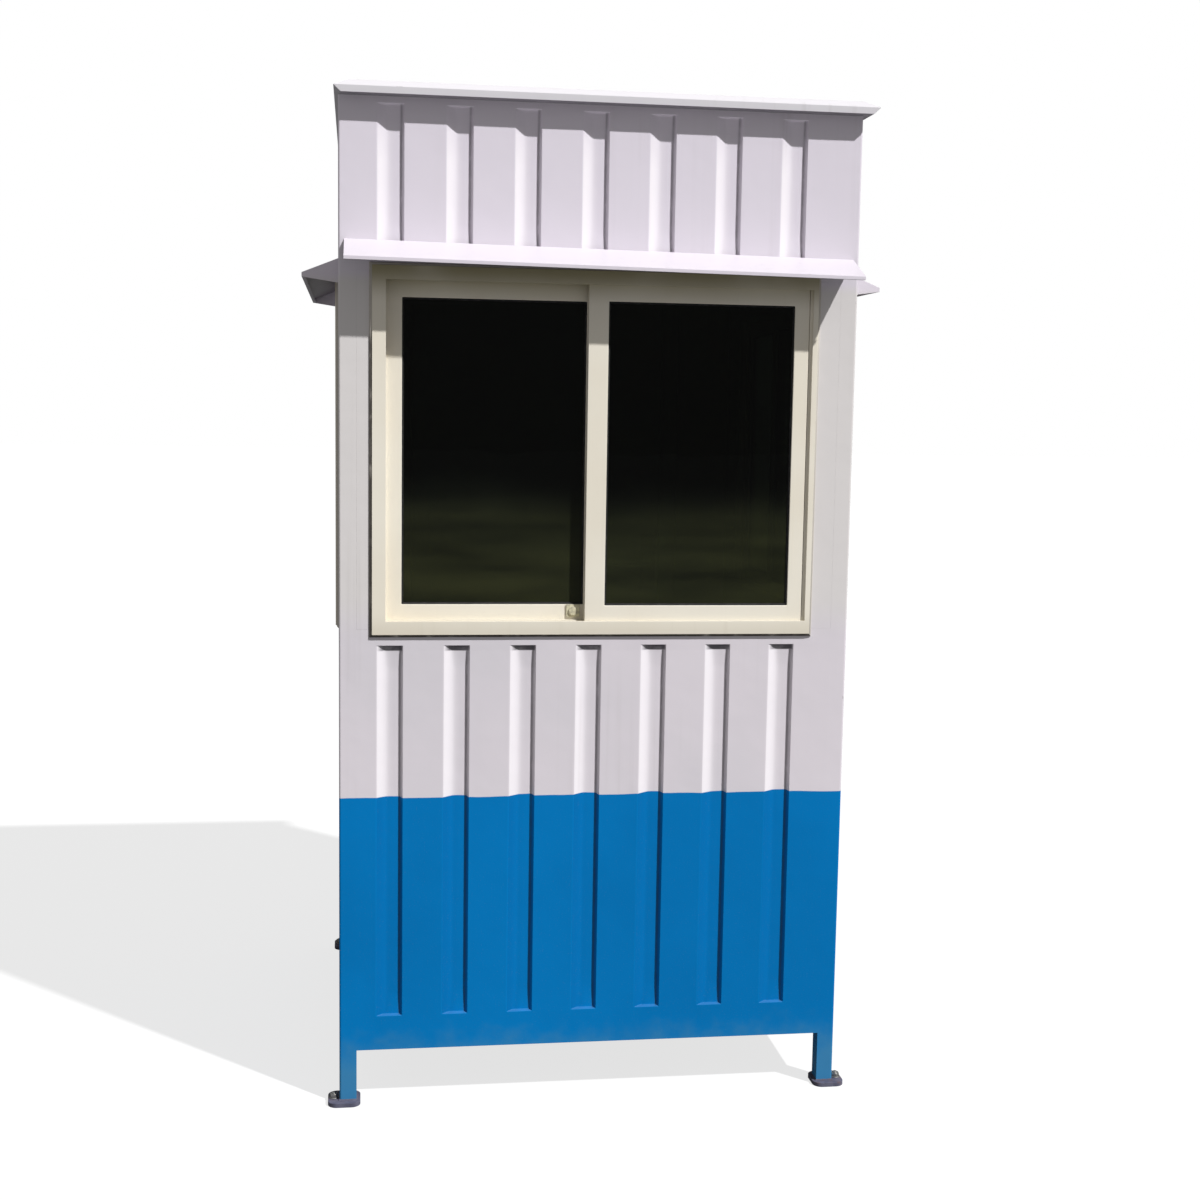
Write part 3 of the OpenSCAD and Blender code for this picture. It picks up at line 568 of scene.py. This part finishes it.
def press_depth(x, z, centres, runs):
    """Depth of the grooves, eased as by a press, and where their painted shade and dirt and the painted
    highlight on their flanks are.
    """
    depth, shade_and_dirt, flank = np.zeros_like(x), np.zeros_like(x), np.zeros_like(x)
    for centre in centres:
        easy, steep = across_depth(x - centre)
        section = soft_min(easy, steep, FOOT_SOFT)
        for low, high in runs:
            wall, fall = end_depth(np.minimum(z - low, high - z))
            groove = soft_min(section, soft_min(wall, fall, END_SOFT), END_SOFT)
            depth = np.maximum(depth, soft_max(np.zeros_like(x), groove, LIP_SOFT))
            # Painted shade and dirt in the crease at the steep side's foot, and a painted shadow under a
            # lower groove's top end
            crease = CREASE_SHARE * np.clip(1 - np.abs(easy - steep) / CREASE_REACH, 0, 1)
            lip_shadow = np.clip((LIP_SHADOW_REACH - (high - z)) / LIP_SHADOW_EDGE, 0, 1) if high < head_z else 0.0
            inside = np.clip(groove / GROOVE_DEPTH * 2, 0, 1)
            shade_and_dirt = np.maximum(shade_and_dirt, np.maximum(crease, lip_shadow) * inside)
            # Painted highlight on the sunward flank, fading out in the eaves' shadow
            across = (x - centre + GROOVE_W / 2 - FLANK_LIT_SPAN[0]) / (FLANK_LIT_SPAN[1] - FLANK_LIT_SPAN[0])
            sunlit = np.clip((eaves_z - EAVES_SHADOW - z) / FLANK_FADE, 0, 1)
            sunlit = sunlit * np.clip(groove / FLANK_LIP, 0, 1)
            flank = np.maximum(flank, np.clip(1 - across, 0, 1) * sunlit)
    return depth, shade_and_dirt, flank


def warp_depth(x, z, low, high):
    """Slight unevenness of thin flat sheet, none at its edges."""
    edge = np.minimum.reduce([x - low.x, high.x - x, z - low.z, high.z - z])
    fade = np.clip(edge / WARP_FADE, 0, 1)
    a, b, c = (np.sin(along * x + up * z + phase) for along, up, phase in WAVES)
    return WARP * fade * fade * (a * b + c + 2) / 4


def sheet_lines(low, high, marks, offsets, gap):
    """Grid lines from low to high: dense round the marks, and no wider apart than gap."""
    lines = [low, high] + [m + o for m in marks for o in offsets if low < m + o < high]
    lines = sorted(set(round(v, LINE_DIGITS) for v in lines))
    filled = []
    for a, b in zip(lines, lines[1:]):
        count = max(1, math.ceil((b - a) / gap))
        filled += [a + (b - a) * i / count for i in range(count)]
    return np.array(filled + [lines[-1]])


# Grid lines over a groove, from its easy lip, from its steep lip and from its ends
EASY_LIP = [-0.0042, -0.0028, -0.0018, -0.0008, 0.0, 0.0008, 0.0018, 0.0030, 0.0045]
EASY_SIDE = [0.008, 0.013, 0.018, 0.021, 0.0225, 0.024, 0.0255, 0.027, 0.031, 0.038, 0.045]
STEEP_SIDE = [0.0105, 0.009, 0.008, 0.007, 0.006, 0.005, 0.003, 0.0015,
              0.0006, 0.0, -0.0004, -0.001, -0.0018]
ACROSS_GROOVE = sorted([s - GROOVE_W / 2 for s in EASY_LIP + EASY_SIDE]
                       + [GROOVE_W / 2 - s for s in STEEP_SIDE])
ALONG_END = [-0.0030, -0.0012, -0.0005, 0.0, 0.0005, 0.0012, 0.0019, 0.0026, 0.0033, 0.0045, 0.006, 0.008,
             0.011, 0.0125, 0.014, 0.0155, 0.024, 0.036, 0.048, 0.053, 0.058]


def turn_edges(mesh, rim):
    """Turns a sheet's border inwards to the depth rim."""
    bm = bmesh.new()
    bm.from_mesh(mesh)
    border = [e for e in bm.edges if e.is_boundary]
    for made in bmesh.ops.extrude_edge_only(bm, edges=border)["geom"]:
        if isinstance(made, bmesh.types.BMVert):
            made.co.y = rim
    bm.to_mesh(mesh)
    bm.free()


def pressed_mesh(name, wall, low, high, centres, runs, rim):
    """A sheet on a wall's face pressed with grooves, its edges turned inwards by rim."""
    xs = sheet_lines(low.x, high.x, centres, ACROSS_GROOVE, GRID_X)
    ends = [low_end for low_end, _ in runs]
    tops = [high_end for _, high_end in runs]
    zs = np.union1d(sheet_lines(low.z, high.z, ends, ALONG_END, GRID_Z),
                    sheet_lines(low.z, high.z, tops, [-s for s in ALONG_END], GRID_Z))
    x, z = np.meshgrid(xs, zs, indexing="ij")
    press, shade_and_dirt, flank = press_depth(x, z, centres, runs)
    y = press + warp_depth(x, z, low, high)
    rows, columns = x.shape
    verts = np.stack([x, y, z], axis=-1).reshape(-1, 3)
    faces = [(i * columns + j, (i + 1) * columns + j, (i + 1) * columns + j + 1, i * columns + j + 1)
             for i in range(rows - 1) for j in range(columns - 1)]
    mesh = mesh_of(name, verts, faces)
    # Attributes: depth, painted shade and dirt, and the painted highlight on the flanks
    for attribute, values in (("press", press / GROOVE_DEPTH), ("shade_and_dirt", shade_and_dirt), ("flank", flank)):
        mesh.attributes.new(attribute, "FLOAT", "POINT").data.foreach_set("value", values.ravel())
    turn_edges(mesh, rim)
    mesh.transform(WALLS[wall])
    return mesh


def pressed_piece(node, wall, centres, runs, slot, parts=None):
    """Stands a pressed sheet, or one for each of a node's parts, in a node's place."""
    for index, (low, high) in enumerate(parts or [wall_box(wall, node)]):
        name = f"{node}_sheet" + (f"_{index + 1}" if parts else "")
        mid = (low.x + high.x) / 2 if parts else 0.0
        mesh = pressed_mesh(name, wall, low, high, [mid + c for c in centres], runs, high.y)
        made = piece(name, mesh, PAINT, slot, node)
        skin = made.modifiers.new("thickness", "SOLIDIFY")
        skin.thickness = SHEET_T
        skin.offset = -1.0


# Solids with softened edges

def clean_copy(node):
    """A node's mesh with its triangles joined back into flat faces."""
    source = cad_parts[node].data
    mesh = bpy.data.meshes.new("copy")
    mesh.from_pydata([v.co for v in source.vertices], [], [p.vertices for p in source.polygons])
    bm = bmesh.new()
    bm.from_mesh(mesh)
    bpy.data.meshes.remove(mesh)
    bmesh.ops.remove_doubles(bm, verts=bm.verts, dist=WELD_DISTANCE)
    bmesh.ops.dissolve_limit(bm, angle_limit=FLAT_ANGLE, verts=bm.verts, edges=bm.edges)
    return bm


def islands(wall, node):
    """Corners of each separate solid of a node, in a wall's frame."""
    bm = clean_copy(node)
    bm.transform(WALLS[wall].inverted())
    left, found = set(bm.verts), []
    while left:
        todo, group = [left.pop()], []
        while todo:
            vert = todo.pop()
            group.append(vert.co.copy())
            for edge in vert.link_edges:
                other = edge.other_vert(vert)
                if other in left:
                    left.remove(other)
                    todo.append(other)
        found.append((Vector(map(min, *group)), Vector(map(max, *group))))
    bm.free()
    return sorted(found, key=lambda corners: tuple(corners[0]))


def soften(bm, edges, radius, segments):
    """Rounds these edges and marks the new faces, where paint wears first."""
    layer = bm.faces.layers.float.get("edge") or bm.faces.layers.float.new("edge")
    made = bmesh.ops.bevel(bm, geom=edges, offset=radius, offset_type="OFFSET", segments=segments,
                           profile=0.5, affect="EDGES", clamp_overlap=True)
    for face in made["faces"]:
        face[layer] = 1.0


def sharp_edges(bm):
    return [e for e in bm.edges if e.is_manifold and e.calc_face_angle() > SHARP_ANGLE]


def even_shading(made):
    made.modifiers.new("even_shading", "WEIGHTED_NORMAL").keep_sharp = True


def dressed(node, material, slot, radius, segments=2):
    """A node's own shape with its sharp edges softened."""
    bm = clean_copy(node)
    soften(bm, sharp_edges(bm), radius, segments)
    even_shading(piece(f"{node}_finished", mesh_from(node, bm), material, slot, node))


def post(node):
    """A corner tube: its outer corner is rounded, its sides stay flush with the sheets."""
    bm = clean_copy(node)
    low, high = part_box(node)
    corners = [(x, y) for x in (low.x, high.x) for y in (low.y, high.y)]
    corner = max(corners, key=lambda point: math.hypot(*point))
    outer = [e for e in bm.edges if all(math.dist(v.co.xy, corner) < WELD_DISTANCE for v in e.verts)]
    soften(bm, outer, POST_CORNER_R, POST_STEPS)
    even_shading(piece(f"{node}_finished", mesh_from(node, bm), PAINT, "blue_paint", node))


# Small parts

def lathe(profile, segments=24):
    """Vertices and faces of an outline of (radius, height) turned about Z, closed at both ends."""
    turns = [(math.cos(a), math.sin(a)) for a in (2 * math.pi * i / segments for i in range(segments))]
    verts = [(r * c, r * s, h) for r, h in profile for c, s in turns]
    return verts, loop_faces(len(profile), segments)


def loop_faces(loops, segments):
    """Faces that join loops of as many points each, with a cap at both ends."""
    faces = [(k * segments + i, k * segments + (i + 1) % segments,
              (k + 1) * segments + (i + 1) % segments, (k + 1) * segments + i)
             for k in range(loops - 1) for i in range(segments)]
    top = (loops - 1) * segments
    return faces + [tuple(range(segments - 1, -1, -1)), tuple(range(top, top + segments))]


def hex_nut(flats, height, segments=36):
    """A nut with chamfered corners."""
    bevel = height * NUT_BEVEL_SHARE
    levels = [(0.0, NUT_FACE_SHARE), (bevel, math.inf), (height - bevel, math.inf), (height, NUT_FACE_SHARE)]
    verts = []
    for level, limit in levels:
        for i in range(segments):
            angle = 2 * math.pi * i / segments
            hexagon = flats / 2 / math.cos(angle % (math.pi / 3) - math.pi / 6)
            radius = min(hexagon, limit * flats / 2)
            verts.append((radius * math.cos(angle), radius * math.sin(angle), level))
    return verts, loop_faces(len(levels), segments)


def stud_profile():
    """Outline of a threaded stud with a chamfered tip."""
    turns = int(STUD_H / THREAD)
    outline = [(STUD_R * (1.0 if k % 2 else THREAD_ROOT_SHARE), k * THREAD / 2) for k in range(2 * turns)]
    return outline + [(STUD_R * STUD_TIP_SHARE, STUD_H)]


def joined(name, shapes):
    """One mesh of several (vertices, faces, matrix)."""
    bm = bmesh.new()
    for verts, faces, place in shapes:
        made = [bm.verts.new(place @ Vector(v)) for v in verts]
        for face in faces:
            bm.faces.new([made[i] for i in face])
    bmesh.ops.recalc_face_normals(bm, faces=bm.faces)
    return mesh_from(name, bm)


def anchors():
    """Washer, nut and stud on each base plate."""
    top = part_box("base_plates")[1].z
    washer = lathe([(WASHER_R - WASHER_FOOT, 0.0), (WASHER_R, WASHER_EDGE),
                    (WASHER_R, WASHER_T - WASHER_EDGE), (WASHER_R - WASHER_EDGE, WASHER_T)], WASHER_SIDES)
    for x in (-1, 1):
        for y in (-1, 1):
            at = Matrix.Translation((x * ANCHOR_AT[0], y * ANCHOR_AT[1], top))
            turn = at @ Matrix.Rotation(NUT_TURN[0] * x + NUT_TURN[1] * y, 4, "Z")
            shapes = [(*washer, at),
                      (*hex_nut(NUT_FLATS, NUT_H), turn @ Matrix.Translation((0, 0, WASHER_T))),
                      (*lathe(stud_profile()), at)]
            name = f"anchor_{'front' if y < 0 else 'back'}_{'left' if x < 0 else 'right'}"
            piece(name, joined(name, shapes), ZINC, "zinc_steel")


def bead(loop, radius, sides=8):
    """A rippled weld bead along a closed flat loop of points."""
    verts, count, run = [], len(loop), 0.0
    for i, point in enumerate(loop):
        along = (loop[(i + 1) % count] - loop[i - 1]).normalized()
        run += (point - loop[i - 1]).length
        out = along.cross(Vector((0, 0, 1)))
        size = radius * (BEAD_LOW_SHARE + BEAD_SWELL_SHARE * abs(math.sin(math.pi * run / BEAD_RIPPLE)))
        for k in range(sides):
            angle = 2 * math.pi * k / sides
            verts.append(point + out * (size * math.cos(angle)) + Vector((0, 0, size * math.sin(angle))))
    faces = [(i * sides + k, (i + 1) % count * sides + k,
              (i + 1) % count * sides + (k + 1) % sides, i * sides + (k + 1) % sides)
             for i in range(count) for k in range(sides)]
    return verts, faces, Matrix()


def square_loop(low, high, z):
    """Points round a post's foot."""
    corners = [(low.x, low.y), (high.x, low.y), (high.x, high.y), (low.x, high.y)]
    points = []
    for a, b in zip(corners, corners[1:] + corners[:1]):
        count = round(math.dist(a, b) / BEAD_STEP)
        points += [Vector((a[0] + (b[0] - a[0]) * i / count, a[1] + (b[1] - a[1]) * i / count, z))
                   for i in range(count)]
    return points


def welds():
    """A bead round each post's foot."""
    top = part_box("base_plates")[1].z
    for corner in CORNERS:
        low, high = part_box(f"post_{corner}")
        name = f"weld_{corner}"
        piece(name, joined(name, [bead(square_loop(low, high, top), BEAD_R)]), FOOT, "zinc_steel")


# Window details

def ring(low, high, profile):
    """A frame round a rectangle: profile points are (inset from the edge, depth), in a closed loop."""
    verts = []
    for inset, y in profile:
        x0, x1, z0, z1 = low.x + inset, high.x - inset, low.z + inset, high.z - inset
        verts += [(x0, y, z0), (x1, y, z0), (x1, y, z1), (x0, y, z1)]
    count = len(profile)
    faces = [(k * 4 + c, k * 4 + (c + 1) % 4, (k + 1) % count * 4 + (c + 1) % 4, (k + 1) % count * 4 + c)
             for k in range(count) for c in range(4)]
    return verts, faces


def gaskets(wall):
    """Rubber round both faces of every pane."""
    shapes = []
    for low, high in islands(wall, f"{wall}_glass"):
        bite = Vector((GLASS_BITE, 0, GLASS_BITE))
        for face, out in ((low.y, -1), (high.y, 1)):
            profile = [(inset * GASKET_W, face + out * rise * GASKET_H) for inset, rise in GASKET_SHARES]
            shapes.append((*ring(low + bite, high - bite, profile), WALLS[wall]))
    name = f"{wall}_window_gaskets"
    piece(name, joined(name, shapes), RUBBER, "zinc_steel")


def sealant(wall):
    """A bead round a window frame, where it meets the wall."""
    low, high = wall_box(wall, f"{wall}_window_frame")
    shape = ring(low, high, [(inset * SEALANT_R, y * SEALANT_R) for inset, y in SEALANT_SHARES])
    name = f"{wall}_window_sealant"
    mesh = joined(name, [(*shape, WALLS[wall])])
    # Painted shade and dirt per side, darkest below and left of the frame
    shade_and_dirt = mesh.attributes.new("shade_and_dirt", "FLOAT", "FACE")
    shade_and_dirt.data.foreach_set("value", SEALANT_DARKENING * len(SEALANT_SHARES))
    piece(name, mesh, PASTE, "cream_coating")


# Door details

def on_wall(wall, x, y, z):
    """A small part's place on a wall, its axis pointing outwards."""
    return WALLS[wall] @ Matrix.Translation((x, y, z)) @ Matrix.Rotation(math.pi / 2, 4, "X")


def screw():
    """A pan head with a socket."""
    return lathe([(r * SCREW_R, h * SCREW_H) for r, h in SCREW_SHARES], SCREW_SIDES)


def keyway(segments=16):
    """A slot's outline with round ends, raised off the lock's face by a hair."""
    half_w, half_h, rise = KEYWAY
    verts = []
    for level in (0.0, rise):
        for i in range(segments):
            angle = 2 * math.pi * (i + 0.5) / segments
            end = math.copysign(half_h - half_w, math.sin(angle))
            verts.append((half_w * math.cos(angle), half_w * math.sin(angle) + end, level))
    return verts, loop_faces(2, segments)


def door_fittings():
    """Screws of the hinges and of the outer handle, its lock, and the seal round the leaf."""
    shapes = []
    for low, high in islands("back", "door_hinges"):
        mid = (low + high) / 2
        shapes += [(*screw(), on_wall("back", mid.x + side * HINGE_SCREW_X, HINGE_FACE, mid.z + up))
                   for side in (-1, 1) for up in HINGE_SCREW_Z]
    low, high = min(islands("back", "door_handles"), key=lambda corners: corners[0].y)
    x, z = low.x + HANDLE_EDGE, (low.z + high.z) / 2
    shapes += [(*screw(), on_wall("back", x, HANDLE_FACE, z + side * HANDLE_SCREW_Z)) for side in (-1, 1)]
    piece("door_screws", joined("door_screws", shapes), ZINC, "zinc_steel")

    lock = on_wall("back", x, HANDLE_FACE, z - LOCK_DROP)
    piece("door_lock", joined("door_lock", [(*lathe(LOCK, LOCK_SIDES), lock)]), ZINC, "zinc_steel")
    slot = lock @ Matrix.Translation((0, 0, LOCK[-1][1]))
    piece("door_keyway", joined("door_keyway", [(*keyway(), slot)]), RUBBER, "zinc_steel")

    low, high = wall_box("back", "door_leaf")
    gap = Vector((LEAF_GAP, 0, LEAF_GAP))
    seal = (*ring(low - gap, high + gap, SEAL), WALLS["back"])
    piece("door_seal", joined("door_seal", [seal]), RUBBER, "zinc_steel")


# Build

def front_and_sides():
    """The three walls with windows and hoods."""
    for wall in ("front", "left", "right"):
        shift = GROOVE_SHIFT if wall == "front" else 0.0
        lower, upper = f"{wall}_panel_lower", f"{wall}_panel_upper"
        low, high = wall_box(wall, lower)
        centres = groove_centres(high.x - low.x, shift)
        lower_run = (low.z + GROOVE_LOW_GAP, high.z - FRAME_LAP - GROOVE_SILL_GAP)
        pressed_piece(lower, wall, centres, [lower_run], "blue_paint")
        hood_top = wall_box(wall, f"{wall}_hood")[1].z
        upper_run = (hood_top - GROOVE_TUCK, eaves_z - GROOVE_EAVES_GAP)
        pressed_piece(upper, wall, centres, [upper_run], "white_paint")
        dressed(f"{wall}_strips", PAINT, "white_paint", SHEET_EDGE_R, CREASED)
        dressed(f"{wall}_hood", PAINT, "white_paint", FOLD_R)
        dressed(f"{wall}_window_frame", CREAM, "cream_coating", FRAME_R, ROUNDED)
        gaskets(wall)
        sealant(wall)
        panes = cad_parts[f"{wall}_glass"].data
        panes.materials.clear()
        panes.materials.append(GLASS)
    for node in ("front_sliding_sash", "front_fixed_sash", "left_sashes", "right_sashes"):
        dressed(node, CREAM, "cream_coating", SASH_R, ROUNDED)
    dressed("front_latch", LATCH, "zinc_steel", LATCH_R, ROUNDED)


def back():
    """The wall with the door."""
    low, high = wall_box("back", "back_panel_upper")
    pressed_piece("back_panel_upper", "back", groove_centres(high.x - low.x),
                  [(low.z + GROOVE_SILL_GAP, eaves_z - GROOVE_EAVES_GAP)], "white_paint")
    sides = islands("back", "back_panels_beside_door")
    width = sides[0][1].x - sides[0][0].x
    pressed_piece("back_panels_beside_door", "back", groove_centres(width),
                  [(leg_z + GROOVE_LOW_GAP, eaves_z - GROOVE_EAVES_GAP)], "white_paint", sides)
    dressed("back_panel_lower", PAINT, "blue_paint", SHEET_EDGE_R, CREASED)
    dressed("door_frame", PAINT, "white_paint", DOOR_FRAME_R)
    dressed("door_leaf", PAINT, "white_paint", LEAF_R)
    dressed("door_hinges", ZINC, "zinc_steel", HINGE_R)
    dressed("door_handles", ZINC, "zinc_steel", HANDLE_R)
    door_fittings()


def frame_and_roof():
    """Posts, rails, feet and roof."""
    for corner in CORNERS:
        post(f"post_{corner}")
    dressed("base_plates", FOOT, "zinc_steel", PLATE_R, ROUNDED)
    dressed("base_rails", PAINT, "blue_paint", BASE_RAIL_R)
    dressed("top_rails", PAINT, "white_paint", TOP_RAIL_R)
    dressed("roof", PAINT, "white_paint", FOLD_R)
    anchors()
    welds()


def inside():
    """Linings, ceiling and deck."""
    for side in ("front", "left", "right", "back"):
        dressed(f"lining_{side}", BOARD, "lining_board", BOARD_R)
    dressed("ceiling", BOARD, "lining_board", BOARD_R)
    dressed("floor", DECK, "floor_board", BOARD_R)


# Light, floor and camera

def seen_directly(tree):
    """1 on rays that show the backdrop itself: from the camera, or by way of glass."""
    path = tree.nodes.new("ShaderNodeLightPath")
    join = tree.nodes.new("ShaderNodeMath")
    join.operation = "MAXIMUM"
    for socket, ray in enumerate(("Is Camera Ray", "Is Transmission Ray")):
        tree.links.new(path.outputs[ray], join.inputs[socket])
    return join.outputs[0]


def light():
    """Sun and sky."""
    sun = bpy.data.objects.new("sun", bpy.data.lights.new("sun", "SUN"))
    sun.data.energy = SUN_STRENGTH
    sun.data.angle = SUN_ANGLE
    sun.rotation_euler = SUN_FROM.to_track_quat("Z", "Y").to_euler()
    bpy.context.scene.collection.objects.link(sun)

    world = bpy.data.worlds.new("sky")
    bpy.context.scene.world = world
    world.use_nodes = True
    tree = world.node_tree
    sky = tree.nodes["Background"]
    sky.inputs["Color"].default_value = (1, 1, 1, 1)
    level = tree.nodes.new("ShaderNodeMapRange")
    tree.links.new(seen_directly(tree), level.inputs["Value"])
    level.inputs["To Min"].default_value = SKY_LEVEL
    tree.links.new(level.outputs[0], sky.inputs["Strength"])


def floor():
    """A pale floor that shows white round a soft shadow."""
    half = FLOOR_SIZE / 2
    corners = [(-half, -half, 0), (half, -half, 0), (half, half, 0), (-half, half, 0)]
    mesh = mesh_of("floor", corners, [(0, 1, 2, 3)])
    ground = bpy.data.objects.new("studio_floor", mesh)
    bpy.context.scene.collection.objects.link(ground)
    surface = bpy.data.materials.new("pale_floor")
    surface.use_nodes = True
    tree = surface.node_tree
    tree.nodes.clear()
    output = tree.nodes.new("ShaderNodeOutputMaterial")
    kinds = ("MixShader", "MixShader", "Emission", "BsdfDiffuse", "BsdfDiffuse")
    shown, either, glow, white, grey = (tree.nodes.new("ShaderNode" + kind) for kind in kinds)
    white.inputs["Color"].default_value = (1, 1, 1, 1)
    grey.inputs["Color"].default_value = (FLOOR_GREY, FLOOR_GREY, FLOOR_GREY, 1)
    shown.inputs[0].default_value = FLOOR_GLOW
    tree.links.new(white.outputs[0], shown.inputs[1])
    tree.links.new(glow.outputs[0], shown.inputs[2])
    tree.links.new(seen_directly(tree), either.inputs[0])
    tree.links.new(grey.outputs[0], either.inputs[1])
    tree.links.new(shown.outputs[0], either.inputs[2])
    tree.links.new(either.outputs[0], output.inputs[0])
    mesh.materials.append(surface)


def camera():
    """The camera fitted to the photograph."""
    eye = bpy.data.objects.new("camera", bpy.data.cameras.new("camera"))
    eye.data.sensor_width = SENSOR_MM
    eye.data.lens = SENSOR_MM * FOCAL_PX / IMAGE_PX
    turn = (Matrix.Rotation(math.radians(-CAMERA_YAW), 4, "Z")
            @ Matrix.Rotation(math.radians(90 - CAMERA_PITCH), 4, "X")
            @ Matrix.Rotation(math.radians(CAMERA_ROLL), 4, "Z"))
    eye.matrix_world = Matrix.Translation(CAMERA_AT) @ turn
    bpy.context.scene.collection.objects.link(eye)
    bpy.context.scene.camera = eye


front_and_sides()
back()
frame_and_roof()
inside()
light()
floor()
camera()
bpy.context.scene.view_settings.view_transform = "Standard"
